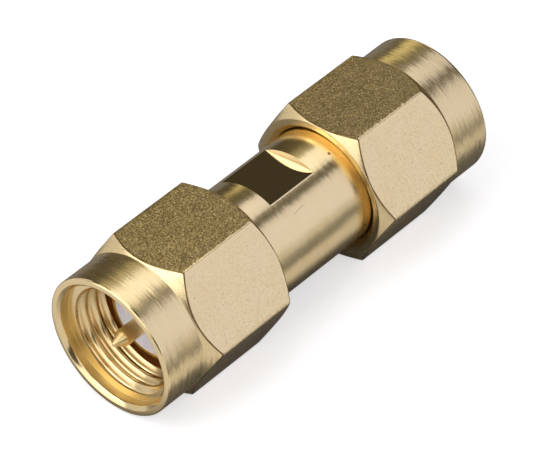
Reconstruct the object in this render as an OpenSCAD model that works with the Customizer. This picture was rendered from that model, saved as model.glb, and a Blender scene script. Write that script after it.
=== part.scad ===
// Coaxial plug-to-plug adapter, SMA pattern.
// A turned and gold-plated brass body carries a captive hexagonal coupling nut at
// each end. The connector axis runs along X. The adapter lies as it comes to rest,
// on one flat of each nut, with Z = 0 at those flats and X = 0 halfway along.
// Each end is drawn once, as the left one, with its mouth towards -X.

/* [Coupling nuts] */
// Distance across the flats of the hexagon
nut_af = 8; // [7.95:0.05:9]
// Length of a nut from its mouth to its rear face
nut_len = 8.5; // [8.2:0.1:9.5]
// How far the mouth stands beyond the reference plane of the plug
nut_overhang = 2.6; // [2.4:0.05:2.9]
// Diameter of the round collar at the mouth
collar_d = 7.84; // [7.5:0.02:7.9]
// Length of the round collar, up to the front bevel
collar_len = 2.45; // [2:0.05:3]
// Slope of the front bevel of the hexagon, from the end face
front_bevel_angle = 45; // [30:1:50]
// Slope of the rear bevel of the hexagon, from the end face
rear_bevel_angle = 38; // [25:1:45]
// Outer diameter of the flat ring on the rear face
rear_face_d = 7.9; // [7.5:0.05:7.9]
// Rounding of the outer edge of the mouth
rim_round = 0.2; // [0.1:0.05:0.25]
// Diameter of the counterbore in front of the thread
counterbore_d = 6.8; // [6.4:0.05:6.9]
// Depth of that counterbore below the mouth
counterbore_depth = 0.65; // [0.4:0.05:0.9]
// Width of the chamfer where the counterbore opens on the mouth face
mouth_chamfer = 0.2; // [0.1:0.05:0.25]
// Minor diameter of the coupling thread
thread_minor_d = 5.74; // [5.7:0.02:5.9]
// Depth below the mouth at which the thread stops
thread_depth = 2.75; // [2.2:0.05:3.2]
// Width of the chamfer inside the rear opening
rear_lead = 0.3; // [0.1:0.05:0.4]
// Radial running clearance between a nut and the barrel
nut_play = 0.08; // [0.05:0.01:0.1]

/* [Adapter body] */
// Distance between the reference planes of the two plugs
body_len = 18.65; // [18.2:0.05:24]
// Diameter of the barrel
barrel_d = 6.48; // [6.4:0.02:6.6]
// Edge chamfer where the barrel ends inside a nut
shoulder_chamfer = 0.15; // [0.05:0.05:0.3]
// Distance across the two spanner flats
flats_af = 5.6; // [5.2:0.1:6.2]
// Length of the spanner flats along the barrel
flats_len = 3.2; // [1.5:0.1:3.4]
// Turn of the body about its axis against the nuts, in degrees
flats_turn = 5; // [0:1:30]

/* [Plug shells] */
// Bore of the shell and the body
shell_bore_d = 4.11; // [3.9:0.01:4.2]
// Wall of the shell that enters the mating socket
shell_wall = 0.24; // [0.2:0.01:0.26]
// Length of the shell in front of the gasket
shell_len = 1.8; // [1.5:0.05:2.1]
// Edge chamfer around the front of the shell
shell_chamfer = 0.08; // [0.02:0.01:0.1]

/* [Gaskets] */
// Thickness of a gasket along the axis
gasket_t = 0.9; // [0.5:0.05:1.1]
// How far a gasket's rim stays inside the barrel's
gasket_inset = 0.19; // [0.1:0.01:0.4]
// Wall of the neck that a gasket sits on, where it meets the shell
neck_wall = 0.11; // [0.1:0.01:0.12]
// How much thicker the neck grows up to the shoulder
neck_taper = 0.06; // [0.03:0.01:0.08]
// Clearance between a gasket and its neck
gasket_play = 0.02; // [0.01:0.01:0.05]

/* [Snap rings] */
// Diameter of the round wire of a snap ring
wire_d = 0.6; // [0.4:0.05:0.7]
// Distance from the rear face of a nut to the middle of its snap ring
ring_inset = 1.9; // [1.2:0.1:2.2]
// Opening angle between the ends of a snap ring
ring_gap_angle = 36; // [20:2:60]
// Clearance on each side of the wire along the axis
ring_side_play = 0.05; // [0.03:0.01:0.1]
// Clearance between the wire and the floor of the nut's groove
ring_seat_play = 0.01; // [0.01:0.01:0.03]
// Clearance between the wire and the floor of the body's groove
ring_floor_play = 0.1; // [0.05:0.01:0.15]

/* [Centre contact and insulators] */
// Diameter of the contact inside the insulators
contact_d = 1.27; // [1:0.01:1.4]
// Diameter of the exposed pin
pin_d = 0.91; // [0.8:0.01:0.95]
// How far the pin stands beyond the reference plane
pin_reach = 2.32; // [1.9:0.02:2.5]
// Length of the tapered nose of the pin
nose_len = 0.65; // [0.4:0.05:0.9]
// Diameter of the blunt tip of the pin
tip_d = 0.2; // [0.1:0.05:0.4]
// Diameter of the collar that holds the contact between the insulators
catch_d = 1.9; // [1.6:0.1:2.4]
// Length of that collar
catch_len = 0.8; // [0.4:0.1:1.6]
// Clearance around the contact, and between an insulator and the bore
insulator_play = 0.01; // [0.01:0.01:0.03]

/* [Hidden] */
$fn = 96;

GOLD = [0.83, 0.70, 0.42];
BRONZE = [0.72, 0.52, 0.30];
PTFE = [0.93, 0.92, 0.94];
SILICONE = [0.62, 0.25, 0.18];

// Stations along X on the left end
plane_x = -body_len / 2;
mouth_x = plane_x - nut_overhang;
nut_rear_x = mouth_x + nut_len;
seat_x = plane_x + shell_len;
shoulder_x = seat_x + gasket_t;
ring_x = nut_rear_x - ring_inset;
tip_x = plane_x - pin_reach;

// Radii
shell_bore_r = shell_bore_d / 2;
shell_r = shell_bore_r + shell_wall;
neck_front_r = shell_bore_r + neck_wall;
neck_back_r = neck_front_r + neck_taper;
gasket_r = barrel_d / 2 - gasket_inset;
corner_r = nut_af / 2 / cos(30);
axis_z = nut_af / 2;
nut_bore_r = barrel_d / 2 + nut_play;
ring_r = (barrel_d / 2 + nut_bore_r) / 2;
nut_groove_r = ring_r + wire_d / 2 + ring_seat_play;
body_groove_r = ring_r - wire_d / 2 - ring_floor_play;
groove_w = wire_d + 2 * ring_side_play;
// A cone that cuts the corners runs on past them, so it never ends on an edge
past = 1;

// Lays a solid that was drawn along Z on the connector axis
module on_axis() {
    translate([0, 0, axis_z]) rotate([0, 90, 0]) children();
}

// Revolves an outline of [radius, x] points about the connector axis
module turned(outline) {
    on_axis() rotate_extrude() polygon(outline);
}

// The left end's solid, mirrored to the right end
module right_hand() {
    mirror([1, 0, 0]) children();
}

// Turned outside of a nut: rounded rim, collar, and a cone at each end of the hexagon
module nut_envelope() {
    front_rise = tan(front_bevel_angle);
    rear_rise = tan(rear_bevel_angle);
    wide_r = corner_r + past;
    collar_r = collar_d / 2;
    round_x = mouth_x + rim_round;
    on_axis() rotate_extrude() union() {
        polygon([
            [0, mouth_x],
            [collar_r - rim_round, mouth_x],
            [collar_r - rim_round, round_x],
            [collar_r, round_x],
            [collar_r, mouth_x + collar_len],
            [wide_r, mouth_x + collar_len + (wide_r - collar_r) * front_rise],
            [wide_r, nut_rear_x - (wide_r - rear_face_d / 2) * rear_rise],
            [rear_face_d / 2, nut_rear_x],
            [0, nut_rear_x]
        ]);
        translate([collar_r - rim_round, round_x]) circle(r = rim_round);
    }
}

module hexagon_bar() {
    translate([mouth_x, 0, axis_z]) rotate([0, 90, 0]) rotate([0, 0, 30])
        cylinder(r = corner_r, h = nut_len, $fn = 6);
}

// Inside of a nut: counterbore, thread at its minor diameter, bore, and rear chamfer
module nut_bore() {
    thread_r = thread_minor_d / 2;
    front_r = counterbore_d / 2;
    turned([
        [0, mouth_x - past],
        [front_r + mouth_chamfer + past, mouth_x - past],
        [front_r, mouth_x + mouth_chamfer],
        [front_r, mouth_x + counterbore_depth],
        [thread_r, mouth_x + counterbore_depth],
        [thread_r, mouth_x + thread_depth],
        [nut_bore_r, mouth_x + thread_depth],
        [nut_bore_r, nut_rear_x - rear_lead],
        [nut_bore_r + rear_lead + past, nut_rear_x + past],
        [0, nut_rear_x + past]
    ]);
}

// Square groove with its floor at radius floor_r, open towards radius open_r
module ring_groove(floor_r, open_r) {
    half = groove_w / 2;
    turned([
        [floor_r, ring_x - half],
        [open_r, ring_x - half],
        [open_r, ring_x + half],
        [floor_r, ring_x + half]
    ]);
}

module nut() {
    color(GOLD) difference() {
        intersection() {
            hexagon_bar();
            nut_envelope();
        }
        nut_bore();
        ring_groove(nut_groove_r, barrel_d / 2);
    }
}

module left_nut() { nut(); }
module right_nut() { right_hand() nut(); }

// Left half of the body's outline, from the reference plane to the middle
function body_half() = [
    [shell_r - shell_chamfer, plane_x],
    [shell_r, plane_x + shell_chamfer],
    [shell_r, seat_x],
    [neck_front_r, seat_x],
    [neck_back_r, shoulder_x],
    [barrel_d / 2 - shoulder_chamfer, shoulder_x],
    [barrel_d / 2, shoulder_x + shoulder_chamfer]
];

function mirrored(outline) =
    [for (i = [len(outline) - 1 : -1 : 0]) [outline[i].x, -outline[i].y]];

// The two spanner flats, milled across the barrel on opposite sides
module spanner_flats() {
    depth = (barrel_d - flats_af) / 2 + past;
    translate([0, 0, axis_z]) rotate([-flats_turn, 0, 0]) for (side = [-1, 1])
        translate([-flats_len / 2, -barrel_d / 2, side * flats_af / 2 - (side < 0 ? depth : 0)])
            cube([flats_len, barrel_d, depth]);
}

module adapter_body() {
    color(GOLD) difference() {
        turned(concat(
            [[shell_bore_r, plane_x]],
            body_half(),
            mirrored(body_half()),
            [[shell_bore_r, -plane_x]]
        ));
        spanner_flats();
        ring_groove(body_groove_r, nut_bore_r);
        right_hand() ring_groove(body_groove_r, nut_bore_r);
    }
}

// Open ring of round wire, with its gap at the top
module snap_ring() {
    color(BRONZE) on_axis() translate([0, 0, ring_x]) rotate([0, 0, 180 + ring_gap_angle / 2])
        rotate_extrude(angle = 360 - ring_gap_angle)
            translate([ring_r, 0]) circle(d = wire_d, $fn = 32);
}

module left_snap_ring() { snap_ring(); }
module right_snap_ring() { right_hand() snap_ring(); }

module gasket() {
    color(SILICONE) turned([
        [neck_front_r + gasket_play, seat_x + gasket_play],
        [gasket_r, seat_x + gasket_play],
        [gasket_r, shoulder_x],
        [neck_back_r + gasket_play, shoulder_x]
    ]);
}

module left_gasket() { gasket(); }
module right_gasket() { right_hand() gasket(); }

// Left insulator: flush with the reference plane, recessed for the contact's collar
module insulator() {
    hole_r = contact_d / 2 + insulator_play;
    outer_r = shell_bore_r - insulator_play;
    catch_r = catch_d / 2 + insulator_play;
    catch_x = -catch_len / 2 - insulator_play;
    color(PTFE) turned([
        [hole_r, plane_x],
        [outer_r, plane_x],
        [outer_r, 0],
        [catch_r, 0],
        [catch_r, catch_x],
        [hole_r, catch_x]
    ]);
}

module left_insulator() { insulator(); }
module right_insulator() { right_hand() insulator(); }

// Left half of the contact's outline, from the tip to the middle
function contact_half() = [
    [0, tip_x],
    [tip_d / 2, tip_x],
    [pin_d / 2, tip_x + nose_len],
    [pin_d / 2, plane_x],
    [contact_d / 2, plane_x],
    [contact_d / 2, -catch_len / 2],
    [catch_d / 2, -catch_len / 2]
];

module centre_contact() {
    color(GOLD) turned(concat(contact_half(), mirrored(contact_half())));
}

adapter_body();
left_nut();
right_nut();
left_snap_ring();
right_snap_ring();
left_gasket();
right_gasket();
left_insulator();
right_insulator();
centre_contact();
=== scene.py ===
import math

import bmesh
import bpy
from mathutils import Matrix, Quaternion, Vector


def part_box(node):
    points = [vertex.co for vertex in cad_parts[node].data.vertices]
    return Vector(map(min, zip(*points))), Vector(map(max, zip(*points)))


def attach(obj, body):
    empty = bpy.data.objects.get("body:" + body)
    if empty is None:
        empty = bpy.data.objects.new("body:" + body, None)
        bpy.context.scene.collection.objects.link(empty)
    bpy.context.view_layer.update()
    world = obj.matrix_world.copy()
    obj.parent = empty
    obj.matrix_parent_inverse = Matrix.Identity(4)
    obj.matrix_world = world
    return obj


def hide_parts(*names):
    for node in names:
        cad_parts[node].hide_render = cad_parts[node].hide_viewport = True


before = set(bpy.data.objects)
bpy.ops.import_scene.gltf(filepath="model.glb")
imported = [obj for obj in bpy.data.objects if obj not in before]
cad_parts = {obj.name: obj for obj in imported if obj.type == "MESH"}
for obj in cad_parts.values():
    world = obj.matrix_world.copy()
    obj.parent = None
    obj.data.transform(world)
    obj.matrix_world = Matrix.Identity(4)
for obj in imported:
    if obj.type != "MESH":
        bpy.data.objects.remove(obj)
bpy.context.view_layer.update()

MM = 0.001

# ---- Sizes in mm. The CAD boxes give the places, and the names below give what a box can't tell.
nut_lo, nut_hi = (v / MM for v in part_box("left_nut"))
body_lo, body_hi = (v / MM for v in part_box("adapter_body"))
gasket_lo, gasket_hi = (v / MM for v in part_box("left_gasket"))
ring_lo, ring_hi = (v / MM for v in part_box("left_snap_ring"))
contact_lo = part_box("centre_contact")[0] / MM

# The coupling nuts, with depths counted from the mouth
AXIS_Z = (nut_lo.z + nut_hi.z) / 2
MOUTH_X = nut_lo.x
NUT_LEN = nut_hi.x - nut_lo.x
FLAT_R = (nut_hi.z - nut_lo.z) / 2
COLLAR_R = 3.92
COLLAR_LEN = 2.45
FRONT_RISE = math.tan(math.radians(45))
REAR_RISE = math.tan(math.radians(38))
REAR_R = 3.95
REAR_OPEN_R = 3.62
NUT_BORE_R = 3.32
NUT_GROOVE_R = 3.59
GROOVE_HALF = 0.35
RING_U = (ring_lo.x + ring_hi.x) / 2 - MOUTH_X
RIM_ROUND = 0.2
FRONT_BORE_R = 3.40
FRONT_BORE_DEPTH = 0.65
MOUTH_CHAMFER = 0.2

# The 1/4-36 thread, with one row of points to each THREAD_ROW of depth
CREST_R = 2.87
ROOT_R = 3.19
PITCH = 25.4 / 36
THREAD_END = 2.75
THREAD_ROW = 0.0175
FIRST_CREST = 0.615
FIRST_CREST_AT = math.radians(-51)

# The body, with its left half counted in x from the middle
PLANE_X = body_lo.x
BARREL_R = (body_hi.y - body_lo.y) / 2
SHELL_BORE_R = 2.055
SHELL_R = 2.295
GASKET_GAP = 0.02
SHELL_END = gasket_lo.x - GASKET_GAP
NECK_FRONT_R = 2.165
NECK_BACK_R = 2.225
SHOULDER_X = gasket_hi.x
SHOULDER_ROUND = 0.15
BODY_GROOVE_R = 2.88
SPANNER_HALF = 2.8
SPANNER_LEN = 3.2
SPANNER_AT = math.radians(85)
MILLED_DEPTH = 0.004

# The contact
PIN_TIP_X = contact_lo.x
PIN_R = 0.455
CONTACT_R = 0.635
NOSE_LEN = 0.65
NOSE_ROUND = 0.08
TIP_R = 0.1
CATCH_R = 0.95
CATCH_LEN = 0.8

# Roundings of the edges. A rounding takes at most ROUND_SHARE of the stretches beside its corner,
# and TINY is the shortest stretch that counts.
CRISP, FINE, SOFT, DULL, SMOOTH = 0.02, 0.03, 0.04, 0.05, 0.06
HEX_EDGE = 0.13
ROUND_SHARE = 0.45
TINY = 1e-9

# Steps round the axis
HEX_EDGE_STEPS = 6
HEX_FLAT_STEPS = 30
BARREL_STEPS = 240
CONTACT_STEPS = 48
SPANNER_EDGE_STEPS = (-1.0, -0.6, -0.3, -0.1, 0.1, 0.3, 0.6, 1.0)
CLOSEST_STEP = math.radians(0.05)

# Points closer than MERGE, in metres, are one, and edges sharper than CREASE stay sharp
MERGE = 1e-8
CREASE = math.radians(32)


# ---- Mesh code: skins wound round the connector axis
def softened(corners, steps=4):
    """Rounds the corners of a closed outline and returns its (x, r, zone) points.

    A corner is (x, r, radius, zone). The zone names the material of the stretch after the corner,
    and a fifth item names one of its own for the rounding."""
    out = []
    count = len(corners)
    for i, (x, r, radius, zone, *rounding) in enumerate(corners):
        if radius <= 0:
            out.append((x, r, zone))
            continue
        ax, ar = corners[i - 1][:2]
        cx, cr = corners[(i + 1) % count][:2]
        before = max(math.hypot(ax - x, ar - r), TINY)
        after = max(math.hypot(cx - x, cr - r), TINY)
        back = min(radius, ROUND_SHARE * before, ROUND_SHARE * after)
        a = (x + (ax - x) * back / before, r + (ar - r) * back / before)
        c = (x + (cx - x) * back / after, r + (cr - r) * back / after)
        for k in range(steps + 1):
            t = k / steps
            w = ((1 - t) ** 2, 2 * t * (1 - t), t * t)
            out.append((w[0] * a[0] + w[1] * x + w[2] * c[0],
                        w[0] * a[1] + w[1] * r + w[2] * c[1],
                        rounding[0] if rounding and k < steps else zone))
    return out


def wind(name, angles, outline, zones, right_end=False, closed=True):
    """A skin with outline(angle) at each angle. One for the right end is turned half way round Z."""
    turn = -1 if right_end else 1
    mesh = bpy.data.meshes.new(name)
    bm = bmesh.new()
    grid = []
    for angle in angles:
        column = outline(angle)
        grid.append([bm.verts.new((turn * x * MM, turn * r * math.cos(angle) * MM,
                                   (AXIS_Z + r * math.sin(angle)) * MM)) for x, r, _ in column])
    for i in range(len(grid)):
        here, there = grid[i], grid[(i + 1) % len(grid)]
        middle = angles[i] + ((angles[(i + 1) % len(grid)] - angles[i]) % math.tau) / 2
        rows = [p[2] for p in outline(middle)]
        for j in range(len(rows) if closed else len(rows) - 1):
            k = (j + 1) % len(rows)
            face = bm.faces.new((here[j], here[k], there[k], there[j]))
            face.material_index = zones.index(rows[j])
            face.smooth = True
    bmesh.ops.remove_doubles(bm, verts=bm.verts, dist=MERGE)
    bmesh.ops.dissolve_degenerate(bm, edges=bm.edges, dist=MERGE)
    bmesh.ops.recalc_face_normals(bm, faces=bm.faces)
    bm.to_mesh(mesh)
    bm.free()
    mesh.set_sharp_from_angle(angle=CREASE)
    piece = bpy.data.objects.new(name, mesh)
    bpy.context.scene.collection.objects.link(piece)
    weigh = piece.modifiers.new("face_weights", "WEIGHTED_NORMAL")
    weigh.keep_sharp = True
    weigh.weight = 100
    return piece


def spread(start, end, count):
    """Even steps from start, with end left out."""
    return [start + (end - start) * i / count for i in range(count)]


# The hexagon has a small round on each of its six long edges
EDGE_CENTRE = (FLAT_R - HEX_EDGE) / math.cos(math.radians(30))
EDGE_TURN = math.atan2(HEX_EDGE * math.sin(math.radians(30)),
                       EDGE_CENTRE + HEX_EDGE * math.cos(math.radians(30)))


def hexagon_r(angle):
    sixth = math.radians(60)
    off = (angle + sixth / 2) % sixth - sixth / 2
    if abs(off) < EDGE_TURN:
        return (EDGE_CENTRE * math.cos(off)
                + math.sqrt(HEX_EDGE ** 2 - (EDGE_CENTRE * math.sin(off)) ** 2))
    return FLAT_R / math.cos(sixth / 2 - abs(off))


def hexagon_angles():
    out = []
    for k in range(6):
        at = math.radians(60 * k)
        out += spread(at - EDGE_TURN, at + EDGE_TURN, HEX_EDGE_STEPS)
        out += spread(at + EDGE_TURN, at + math.radians(60) - EDGE_TURN, HEX_FLAT_STEPS)
    return out


def thread_r(u, angle):
    """Radius of the right-hand thread at depth u: a soft wave between its crests and roots."""
    crest = FIRST_CREST + PITCH * (angle - FIRST_CREST_AT) / math.tau
    off = abs((u - crest + PITCH / 2) % PITCH - PITCH / 2) / (PITCH / 2)
    return CREST_R + (ROOT_R - CREST_R) * off ** 2 * (3 - 2 * off)


def nut_outline(angle):
    hexagon = hexagon_r(angle)
    corners = [
        (0, FRONT_BORE_R + MOUTH_CHAMFER, SOFT, "rim"),
        (0, COLLAR_R, RIM_ROUND, "turned", "rim"),
        (COLLAR_LEN, COLLAR_R, FINE, "turned"),
        # The roundings where the flats meet the front and rear bevels take the edge zone, whose dark tint
        # is a painted dark reflection
        (COLLAR_LEN + (hexagon - COLLAR_R) * FRONT_RISE, hexagon, DULL, "flat", "edge"),
        (NUT_LEN - (hexagon - REAR_R) * REAR_RISE, hexagon, DULL, "turned", "edge"),
        (NUT_LEN, REAR_R, DULL, "turned"),
        (NUT_LEN, REAR_OPEN_R, SOFT, "turned"),
        (NUT_LEN - REAR_OPEN_R + NUT_BORE_R, NUT_BORE_R, CRISP, "bore"),
        (RING_U + GROOVE_HALF, NUT_BORE_R, 0, "bore"),
        (RING_U + GROOVE_HALF, NUT_GROOVE_R, 0, "bore"),
        (RING_U - GROOVE_HALF, NUT_GROOVE_R, 0, "bore"),
        (RING_U - GROOVE_HALF, NUT_BORE_R, 0, "bore"),
        (THREAD_END, NUT_BORE_R, 0, "thread"),
    ]
    rows = int((THREAD_END - FRONT_BORE_DEPTH) / THREAD_ROW)
    for i in range(rows + 1):
        u = THREAD_END + (FRONT_BORE_DEPTH - THREAD_END) * i / rows
        corners.append((u, thread_r(u, angle), FINE if i == rows else 0, "thread"))
    corners.append((FRONT_BORE_DEPTH, FRONT_BORE_R, FINE, "bore"))
    corners.append((MOUTH_CHAMFER, FRONT_BORE_R, DULL, "rim"))
    return [(MOUTH_X + u, r, zone) for u, r, zone in softened(corners)]


def spanner_r(angle):
    """The barrel's radius where the two spanner flats are milled, with their long edges softened."""
    # Away from both flats any large radius does, so the facing is kept clear of zero
    facing = max(abs(math.cos(angle - SPANNER_AT)), 0.1)
    flat = SPANNER_HALF / facing
    near = max(FINE - abs(flat - BARREL_R), 0)
    return min(flat, BARREL_R) - near ** 2 / (4 * FINE)


def barrel_angles():
    edge = math.acos(SPANNER_HALF / BARREL_R)
    near = [math.radians(d) for d in SPANNER_EDGE_STEPS]
    out = spread(0, math.tau, BARREL_STEPS)
    for side in (0, math.pi):
        for way in (-1, 1):
            out += [(SPANNER_AT + side + way * edge + n) % math.tau for n in near]
    out.sort()
    return [a for i, a in enumerate(out) if i == 0 or a - out[i - 1] > CLOSEST_STEP]


def body_outline(angle):
    milled = spanner_r(angle)
    flat = "milled" if milled < BARREL_R - MILLED_DEPTH else "turned"
    ring_x = MOUTH_X + RING_U
    half = [
        (PLANE_X, SHELL_BORE_R, CRISP, "turned"),
        (PLANE_X, SHELL_R, SMOOTH, "turned"),
        (SHELL_END, SHELL_R, 0, "turned"),
        (SHELL_END, NECK_FRONT_R, 0, "turned"),
        (SHOULDER_X, NECK_BACK_R, 0, "turned"),
        (SHOULDER_X, BARREL_R, SHOULDER_ROUND, "turned"),
        (ring_x - GROOVE_HALF, BARREL_R, 0, "turned"),
        (ring_x - GROOVE_HALF, BODY_GROOVE_R, 0, "turned"),
        (ring_x + GROOVE_HALF, BODY_GROOVE_R, 0, "turned"),
        (ring_x + GROOVE_HALF, BARREL_R, 0, "turned"),
        (-SPANNER_LEN / 2, BARREL_R, CRISP, flat),
        (-SPANNER_LEN / 2, milled, 0, flat),
    ]
    # A zone belongs to the stretch after its corner, so a mirrored corner takes its neighbour's
    other = [(-half[i][0], half[i][1], half[i][2], half[i - 1][3])
             for i in range(len(half) - 1, -1, -1)]
    other[-1] = other[-1][:3] + ("turned",)
    return softened(half + other)


def contact_outline(angle):
    half = [
        (PIN_TIP_X, 0, 0, "pin"),
        (PIN_TIP_X, TIP_R, SOFT, "pin"),
        (PIN_TIP_X + NOSE_LEN, PIN_R, NOSE_ROUND, "pin"),
        (PLANE_X, PIN_R, 0, "pin"),
        (PLANE_X, CONTACT_R, 0, "pin"),
        (-CATCH_LEN / 2, CONTACT_R, 0, "pin"),
        (-CATCH_LEN / 2, CATCH_R, 0, "pin"),
    ]
    return softened(half + [(-x, r, radius, zone) for x, r, radius, zone in reversed(half)])


# ---- Materials
def linear(red, green, blue):
    """A shader colour from 8-bit sRGB values."""
    return tuple(((c / 255 + 0.055) / 1.055) ** 2.4 if c > 10 else c / 255 / 12.92
                 for c in (red, green, blue)) + (1,)


class Nodes:
    """An emptied node tree, and short ways to add nodes to it and join them."""

    def __init__(self, tree):
        self.tree = tree
        self.tree.nodes.clear()

    def add(self, kind):
        return self.tree.nodes.new(kind)

    def link(self, a, out, b, into):
        self.tree.links.new(a.outputs[out], b.inputs[into])

    def feed(self, socket, value):
        if isinstance(value, bpy.types.NodeSocket):
            self.tree.links.new(value, socket)
        else:
            socket.default_value = value

    def maths(self, operation, a, b=0.0):
        node = self.add("ShaderNodeMath")
        node.operation = operation
        for socket, value in zip(node.inputs, (a, b)):
            self.feed(socket, value)
        return node.outputs[0]

    def distance(self, a, b):
        squares = self.maths("MULTIPLY", a, a), self.maths("MULTIPLY", b, b)
        return self.maths("SQRT", self.maths("ADD", *squares))

    def mapped(self, value, low, high, to_low, to_high, smooth=False):
        """Takes low..high to to_low..to_high, and holds the ends beyond."""
        node = self.add("ShaderNodeMapRange")
        node.interpolation_type = "SMOOTHSTEP" if smooth else "LINEAR"
        for socket, number in zip(node.inputs, (value, low, high, to_low, to_high)):
            self.feed(socket, number)
        return node.outputs[0]

    def mix(self, factor, a, b):
        node = self.add("ShaderNodeMix")
        node.data_type = "RGBA"
        self.feed(node.inputs[0], factor)
        self.feed(node.inputs[6], a)
        self.feed(node.inputs[7], b)
        return node.outputs[2]


class Finish(Nodes):
    """A node material in object coordinates counted in mm from the connector axis."""

    def __init__(self, name):
        self.material = bpy.data.materials.new(name)
        self.material.use_nodes = True
        super().__init__(self.material.node_tree)
        out = self.add("ShaderNodeOutputMaterial")
        self.shader = self.add("ShaderNodeBsdfPrincipled")
        self.link(self.shader, "BSDF", out, "Surface")
        coords = self.add("ShaderNodeTexCoord")
        place = self.add("ShaderNodeMapping")
        place.inputs["Scale"].default_value = (1 / MM,) * 3
        place.inputs["Location"].default_value = (0, 0, -AXIS_Z)
        self.link(coords, "Object", place, "Vector")
        self.place = place.outputs["Vector"]
        split = self.add("ShaderNodeSeparateXYZ")
        self.feed(split.inputs[0], self.place)
        self.x, y, z = split.outputs
        self.turn = self.maths("ARCTAN2", z, y)
        self.radius = self.distance(y, z)

    def vector(self, x, y, z):
        node = self.add("ShaderNodeCombineXYZ")
        for socket, value in zip(node.inputs, (x, y, z)):
            self.feed(socket, value)
        return node.outputs[0]

    def vectors(self, operation, a, b):
        node = self.add("ShaderNodeVectorMath")
        node.operation = operation
        self.feed(node.inputs[0], a)
        self.feed(node.inputs["Scale"] if operation == "SCALE" else node.inputs[1], b)
        return node.outputs[0]

    def noise(self, vector, scale, detail=2.0, rough=0.5):
        node = self.add("ShaderNodeTexNoise")
        self.feed(node.inputs["Vector"], vector)
        node.inputs["Scale"].default_value = scale
        node.inputs["Detail"].default_value = detail
        node.inputs["Roughness"].default_value = rough
        return node.outputs["Fac"]

    def bump(self, height, depth, under=None):
        node = self.add("ShaderNodeBump")
        node.inputs["Strength"].default_value = 1.0
        node.inputs["Distance"].default_value = depth * MM
        self.feed(node.inputs["Height"], height)
        if under is not None:
            self.feed(node.inputs["Normal"], under)
        return node.outputs["Normal"]

    def tilted(self, by, under=None):
        """The normal (under, or the mesh's own) pushed over by a small world-space vector."""
        if under is None:
            under = self.add("ShaderNodeNewGeometry").outputs["Normal"]
        return self.vectors("NORMALIZE", self.vectors("ADD", under, by), (0, 0, 0))

    def lathe_lines(self, per_mm, along=0.25):
        """Fine rings about the axis that drift a little on their way round."""
        v = self.vector(self.maths("MULTIPLY", self.x, per_mm),
                        self.maths("MULTIPLY", self.radius, per_mm),
                        self.maths("MULTIPLY", self.turn, along * per_mm))
        return self.noise(v, 1.0, 3.0, 0.6)

    def streaks(self, per_mm, along, slope, under=None):
        """Turning marks: thin rings whose normals lean a little forwards or backwards round the axis."""
        around = self.vector(0.0, self.maths("MULTIPLY", self.maths("SINE", self.turn), -1.0),
                             self.maths("COSINE", self.turn))
        turned = self.add("ShaderNodeVectorTransform")
        turned.vector_type = "VECTOR"
        turned.convert_from = "OBJECT"
        turned.convert_to = "WORLD"
        self.feed(turned.inputs[0], around)
        lean = self.mapped(self.lathe_lines(per_mm, along), 0.25, 0.75, -slope, slope)
        return self.tilted(self.vectors("SCALE", turned.outputs[0], lean), under)

    def grains(self, per_mm, slope, under=None):
        """Satin grain: small cells whose normals each lean their own way."""
        cells = self.add("ShaderNodeTexVoronoi")
        cells.inputs["Scale"].default_value = per_mm
        self.feed(cells.inputs["Vector"], self.place)
        lean = self.vectors("SUBTRACT", cells.outputs["Color"], (0.5, 0.5, 0.5))
        return self.tilted(self.vectors("SCALE", lean, 2 * slope), under)

    def surface(self, **values):
        for name, value in values.items():
            self.feed(self.shader.inputs[name.replace("_", " ")], value)
        return self.material


# Tints of the gold plate, the shade in its pits and scratches, and a painted dark reflection for the
# rounded edges where the hexagon's flats meet its bevels
GOLD = linear(243, 219, 167)
GOLD_DEEP = linear(241, 214, 154)
GOLD_BORE = linear(226, 199, 136)
GOLD_PALE = linear(216, 201, 170)
GOLD_EDGE_PAINTED_DARK = linear(118, 92, 56)
SHADE = linear(150, 122, 80)
SPECK_TONE = linear(74, 58, 40)
GRAINS_PER_MM = 17.0
STREAK_DRIFT = 0.12


def gold(name, rough, lines=0.0, per_mm=14.0, streak=0.0, grain=0.0, tint=GOLD, marks=False):
    """Gold plate. Its turning lines are lines mm deep, and streak and grain are slopes."""
    f = Finish(name)
    # Soft clouds of a deeper tint, fine pits, and the lines that the tool left
    cloud = f.noise(f.place, 1.1, 3.0, 0.55)
    fine = f.noise(f.place, 26.0, 2.0, 0.6)
    rings = f.lathe_lines(per_mm)
    colour = f.mix(f.mapped(cloud, 0.35, 0.7, 0.0, 0.35), tint, GOLD_DEEP)
    colour = f.mix(f.mapped(fine, 0.62, 0.8, 0.0, 0.3), colour, SHADE)
    roughness = f.maths("ADD", f.mapped(cloud, 0.3, 0.7, rough * 0.92, rough * 1.08),
                        f.mapped(rings, 0.3, 0.7, -rough * 0.08, rough * 0.08))
    normal = f.bump(rings, lines) if lines else None
    if streak:
        normal = f.streaks(per_mm, STREAK_DRIFT, streak, normal)
    if grain:
        normal = f.grains(GRAINS_PER_MM, grain, normal)
    if marks:
        speck, hair = barrel_marks(f)
        colour = f.mix(f.maths("MULTIPLY", hair, HAIR_DEPTH), colour, SHADE)
        colour = f.mix(speck, colour, SPECK_TONE)
    values = {"Base_Color": colour, "Roughness": roughness, "Metallic": 1.0}
    if normal is not None:
        values["Normal"] = normal
    return f.surface(**values)


# Marks on the barrel, each placed by its x in mm and its angle about the axis. The speck fades between
# its two radii. The hairline is an arc of a circle of HAIR_R, from HAIR_ENDS[0] to HAIR_ENDS[3] along it.
SPECK = (3.06, math.radians(110))
SPECK_FADE = (0.05, 0.11)
SPECK_DEPTH = 0.85
HAIR = (-0.1, math.radians(203.4))
HAIR_R = 4.0
HAIR_WIDTH = 0.03
HAIR_ENDS = (-0.85, -0.7, -0.05, 0.1)
HAIR_DEPTH = 0.45


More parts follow.
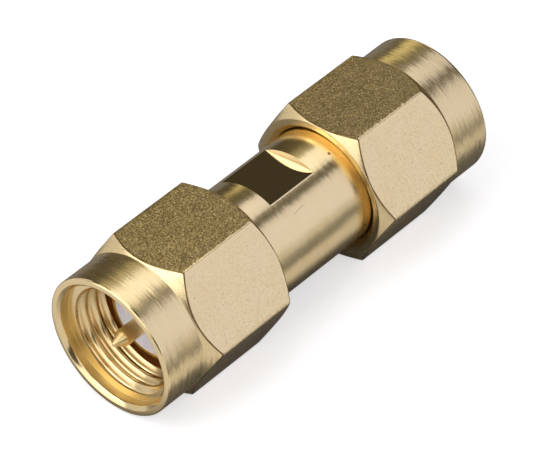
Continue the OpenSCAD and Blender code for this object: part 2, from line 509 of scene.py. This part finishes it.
def barrel_marks(f):
    """A small dark speck and a faint curved hairline, as two masks."""
    def offset(mark):
        around = f.maths("SUBTRACT", f.turn, mark[1])
        return f.maths("SUBTRACT", f.x, mark[0]), f.maths("MULTIPLY", around, BARREL_R)

    speck = f.mapped(f.distance(*offset(SPECK)), *SPECK_FADE, SPECK_DEPTH, 0.0, True)
    along, across = offset(HAIR)
    off_line = f.maths("ABSOLUTE", f.maths("SUBTRACT", f.distance(along, across), HAIR_R))
    hair = f.mapped(off_line, 0.0, HAIR_WIDTH, 1.0, 0.0, True)
    part = f.maths("MULTIPLY", f.mapped(along, *HAIR_ENDS[:2], 0.0, 1.0, True),
                   f.mapped(along, *HAIR_ENDS[2:], 1.0, 0.0, True))
    part = f.maths("MULTIPLY", part, f.maths("LESS_THAN", across, 0.0))
    return speck, f.maths("MULTIPLY", hair, part)


def rubber():
    f = Finish("silicone_rubber")
    dust = f.noise(f.place, 3.0, 3.0)
    colour = f.mix(f.mapped(dust, 0.35, 0.7, 0.0, 1.0), linear(245, 160, 92), linear(225, 138, 76))
    normal = f.bump(f.noise(f.place, 22.0, 3.0), 0.003)
    return f.surface(Base_Color=colour, Roughness=f.mapped(dust, 0.3, 0.7, 0.5, 0.7), Normal=normal)


def dielectric():
    f = Finish("ptfe_dielectric")
    rings = f.lathe_lines(7.0)
    colour = f.mix(f.mapped(rings, 0.35, 0.7, 0.0, 1.0), linear(238, 235, 240),
                   linear(224, 219, 228))
    normal = f.bump(rings, 0.0015)
    return f.surface(Base_Color=colour, Roughness=f.mapped(rings, 0.3, 0.7, 0.38, 0.55),
                     Normal=normal, Subsurface_Weight=0.25, Subsurface_Scale=0.3 * MM)


def spring_bronze():
    f = Finish("spring_bronze")
    drawn = f.noise(f.place, 9.0, 3.0)
    colour = f.mix(f.mapped(drawn, 0.3, 0.7, 0.0, 1.0), linear(196, 160, 112),
                   linear(160, 122, 82))
    return f.surface(Base_Color=colour, Roughness=f.mapped(drawn, 0.3, 0.7, 0.25, 0.4),
                     Metallic=1.0, Normal=f.bump(drawn, 0.002))


FINISH = {
    "turned": gold("gold_turned_collar", 0.28, lines=0.002, per_mm=9.0, streak=0.075, grain=0.015),
    "flat": gold("gold_satin_flats", 0.24, grain=0.075),
    # The edge zone's darker tint is a painted dark reflection along the roundings between the hexagon's
    # flats and bevels
    "edge": gold("gold_edge_painted_dark", 0.30, grain=0.05, tint=GOLD_EDGE_PAINTED_DARK),
    "rim": gold("gold_polished_rim", 0.15, lines=0.001),
    "bore": gold("gold_bore", 0.40, lines=0.002, tint=GOLD_BORE),
    "thread": gold("gold_thread", 0.20, lines=0.001),
    "barrel": gold("gold_barrel", 0.23, lines=0.001, streak=0.03, marks=True),
    "milled": gold("gold_milled_flats", 0.06, tint=GOLD_PALE),
    "pin": gold("gold_contact_pin", 0.30, lines=0.0008, tint=GOLD_DEEP),
}

# ---- The pieces
NUT_ZONES = ["turned", "flat", "rim", "bore", "thread", "edge"]
for side, right in (("left", False), ("right", True)):
    nut = wind(side + "_coupling_nut", hexagon_angles(), nut_outline, NUT_ZONES, right)
    for zone in NUT_ZONES:
        nut.data.materials.append(FINISH[zone])
    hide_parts(side + "_nut")
    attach(nut, side + "_coupling")

body = wind("adapter_barrel", barrel_angles(), body_outline, ["turned", "milled"])
body.data.materials.append(FINISH["barrel"])
body.data.materials.append(FINISH["milled"])
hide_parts("adapter_body")
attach(body, "body")

contact_angles = spread(0, math.tau, CONTACT_STEPS)
contact = wind("contact_pins", contact_angles, contact_outline, ["pin"], closed=False)
contact.data.materials.append(FINISH["pin"])
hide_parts("centre_contact")
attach(contact, "body")

PLAIN = {"gasket": rubber(), "insulator": dielectric(), "snap_ring": spring_bronze()}
for name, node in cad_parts.items():
    for word, material in PLAIN.items():
        if name.endswith(word):
            node.data.materials.clear()
            node.data.materials.append(material)

# ---- Floor
FLOOR_SIZE = 4.0
FLOOR_DROP = 0.00001
FLOOR_TONE = (0.8, 0.8, 0.8, 1)
FLOOR_GLOW = 0.55
# What the metal sees of the floor in its reflections: (y in mm, tone), with painted shade close in and
# again from -16 to -12.5 mm, a painted bright band from -9.5 to -7.2 mm, and pale beyond
FLOOR_PAINTED_SHADE_AND_LIGHT = ((-30, 0.80), (-16, 0.31), (-12.5, 0.20), (-9.5, 0.85), (-7.2, 0.9), (-5.4, 0.17),
              (-3, 0.20), (0, 0.32), (8, 0.25))
FLOOR_REACH = 40
# Beside the barrel that painted shade is narrower: all along WAIST_HALF mm from WAIST_X, and none from
# WAIST_END
WAIST_X, WAIST_HALF, WAIST_END = 3, 3, 6
WAIST_SHIFT = 2.0
# Ahead of the near mouth the painted shade gives way to a pale tone in reflections, all of it beyond the
# first x in mm
AHEAD_X = (-15, -12.3)
AHEAD_TONE = (0.85, 0.85, 0.85, 1)


def floor_material():
    material = bpy.data.materials.new("pale_floor")
    material.use_nodes = True
    n = Nodes(material.node_tree)
    out, coords, split = (n.add("ShaderNode" + kind)
                          for kind in ("OutputMaterial", "TexCoord", "SeparateXYZ"))
    n.link(coords, "Object", split, "Vector")
    x, y, _ = split.outputs

    from_waist = n.maths("ABSOLUTE", n.maths("SUBTRACT", x, WAIST_X * MM))
    aside = n.mapped(from_waist, WAIST_HALF * MM, WAIST_END * MM, WAIST_SHIFT * MM, 0.0, True)
    across = n.maths("DIVIDE", n.maths("SUBTRACT", y, aside), 2 * FLOOR_REACH * MM)
    painted_bands = n.add("ShaderNodeValToRGB")
    painted_bands.color_ramp.interpolation = "EASE"
    while len(painted_bands.color_ramp.elements) < len(FLOOR_PAINTED_SHADE_AND_LIGHT):
        painted_bands.color_ramp.elements.new(0.5)
    for element, (place, tone) in zip(painted_bands.color_ramp.elements, FLOOR_PAINTED_SHADE_AND_LIGHT):
        element.position = (place + FLOOR_REACH) / (2 * FLOOR_REACH)
        element.color = (tone, tone, tone, 1)
    n.feed(painted_bands.inputs[0], n.maths("ADD", across, 0.5))
    ahead = n.mapped(x, AHEAD_X[0] * MM, AHEAD_X[1] * MM, 1.0, 0.0)
    painted_reflection = n.mix(ahead, painted_bands.outputs[0], AHEAD_TONE)

    path, diffuse, glow, total = (n.add("ShaderNode" + kind)
                                  for kind in ("LightPath", "BsdfDiffuse", "Emission", "AddShader"))
    # Glossy rays see the painted shade and light bands, while the camera and other rays see the even
    # FLOOR_TONE
    n.feed(diffuse.inputs["Color"], n.mix(path.outputs["Is Glossy Ray"], FLOOR_TONE, painted_reflection))
    strength = n.maths("MULTIPLY", path.outputs["Is Camera Ray"], FLOOR_GLOW)
    n.feed(glow.inputs["Strength"], strength)
    n.link(diffuse, 0, total, 0)
    n.link(glow, 0, total, 1)
    n.link(total, 0, out, "Surface")
    return material


def floor():
    mesh = bpy.data.meshes.new("floor")
    half = FLOOR_SIZE / 2
    mesh.from_pydata([(-half, -half, 0), (half, -half, 0), (half, half, 0), (-half, half, 0)],
                     [], [(0, 1, 2, 3)])
    mesh.materials.append(floor_material())
    piece = bpy.data.objects.new("floor", mesh)
    bpy.context.scene.collection.objects.link(piece)
    piece.location.z = -FLOOR_DROP
    return piece


floor()


# ---- Lamps and room
WARM, WHITE, COOL = (1.08, 1.0, 0.62), (1.0, 1.0, 1.04), (0.96, 1.0, 1.27)
ROOM = (0.066, 0.055, 0.034, 1)
PAPER = (1, 1, 1, 1)


def softbox(name, towards, distance, width, height, level, colour=WHITE, along=(1, 0, 0), shift=0):
    """A rectangular lamp, in metres, towards a direction from the adapter and facing it.

    Its level is how bright a mirror would show it. The width runs along, and shift moves it there."""
    data = bpy.data.lights.new(name, "AREA")
    data.color = colour
    data.shape = "RECTANGLE"
    data.size, data.size_y = width, height
    data.energy = level * math.pi * width * height
    lamp = bpy.data.objects.new(name, data)
    bpy.context.scene.collection.objects.link(lamp)
    z = Vector(towards).normalized()
    y = z.cross(Vector(along)).normalized()
    x = y.cross(z)
    place = z * distance + x * shift + Vector((0, 0, AXIS_Z * MM))
    lamp.matrix_world = Matrix((
        (x.x, y.x, z.x, place.x), (x.y, y.y, z.y, place.y), (x.z, y.z, z.z, place.z), (0, 0, 0, 1)))
    lamp.visible_camera = False


def over_axis(degrees):
    """A direction square to the adapter's axis, counted from +Y over the top to -Y."""
    return 0, math.cos(math.radians(degrees)), math.sin(math.radians(degrees))


softbox("warm_panel", over_axis(77), 0.36, 0.74, 0.42, level=0.36, colour=WARM, shift=-0.15)
softbox("overhead_strip", over_axis(84), 0.32, 0.80, 0.21, level=0.88, colour=COOL, shift=-0.03)
softbox("side_box", over_axis(159), 0.32, 0.50, 0.49, level=0.79, colour=COOL, shift=0.21)
softbox("front_box", (-0.56, -0.58, 0.58), 0.34, 0.24, 0.18, level=1.1, along=(1, -1, 0))
softbox("end_box", (-0.90, 0.22, 0.40), 0.34, 0.44, 0.36, level=1.3, along=(0, 1, 0))
softbox("back_box", (-0.25, 0.93, 0.30), 0.36, 0.36, 0.24, level=0.6)
softbox("far_box", (0.76, 0.57, 0.30), 0.36, 0.16, 0.11, level=0.8, colour=WARM, along=(-1, 1, 0))
softbox("corner_box", (-0.54, 0.52, 0.66), 0.34, 0.10, 0.10, level=2.2, along=(1, 1, 0))


def studio():
    """A dim room round the adapter, with white paper behind it as the camera sees it."""
    world = bpy.data.worlds.new("studio")
    world.use_nodes = True
    n = Nodes(world.node_tree)
    out, path, room, paper, pick = (n.add("ShaderNode" + kind) for kind in (
        "OutputWorld", "LightPath", "Background", "Background", "MixShader"))
    room.inputs["Color"].default_value = ROOM
    paper.inputs["Color"].default_value = PAPER
    n.link(path, "Is Camera Ray", pick, 0)
    n.link(room, 0, pick, 1)
    n.link(paper, 0, pick, 2)
    n.link(pick, 0, out, "Surface")
    return world


bpy.context.scene.world = studio()


# ---- Camera: AIM and DISTANCE in metres, the lens and its sensor in mm
AIM = Vector((-0.201, 0.077, 3.895)) * MM
DISTANCE = 199.25 * MM
AZIMUTH, ELEVATION, ROLL = math.radians(-46.11), math.radians(41.1), math.radians(-3.15)
LENS, SENSOR = 266.67, 36
NEAR, FAR = 0.01, 10


def camera():
    back = Vector((math.sin(AZIMUTH) * math.cos(ELEVATION), -math.cos(AZIMUTH) * math.cos(ELEVATION),
                   math.sin(ELEVATION)))
    data = bpy.data.cameras.new("camera")
    data.sensor_width = SENSOR
    data.lens = LENS
    data.clip_start = NEAR
    data.clip_end = FAR
    piece = bpy.data.objects.new("camera", data)
    bpy.context.scene.collection.objects.link(piece)
    piece.location = AIM + back * DISTANCE
    piece.rotation_mode = "QUATERNION"
    piece.rotation_quaternion = (-back).to_track_quat("-Z", "Y") @ Quaternion((0, 0, 1), ROLL)
    return piece


bpy.context.scene.camera = camera()
bpy.context.scene.view_settings.view_transform = "Standard"
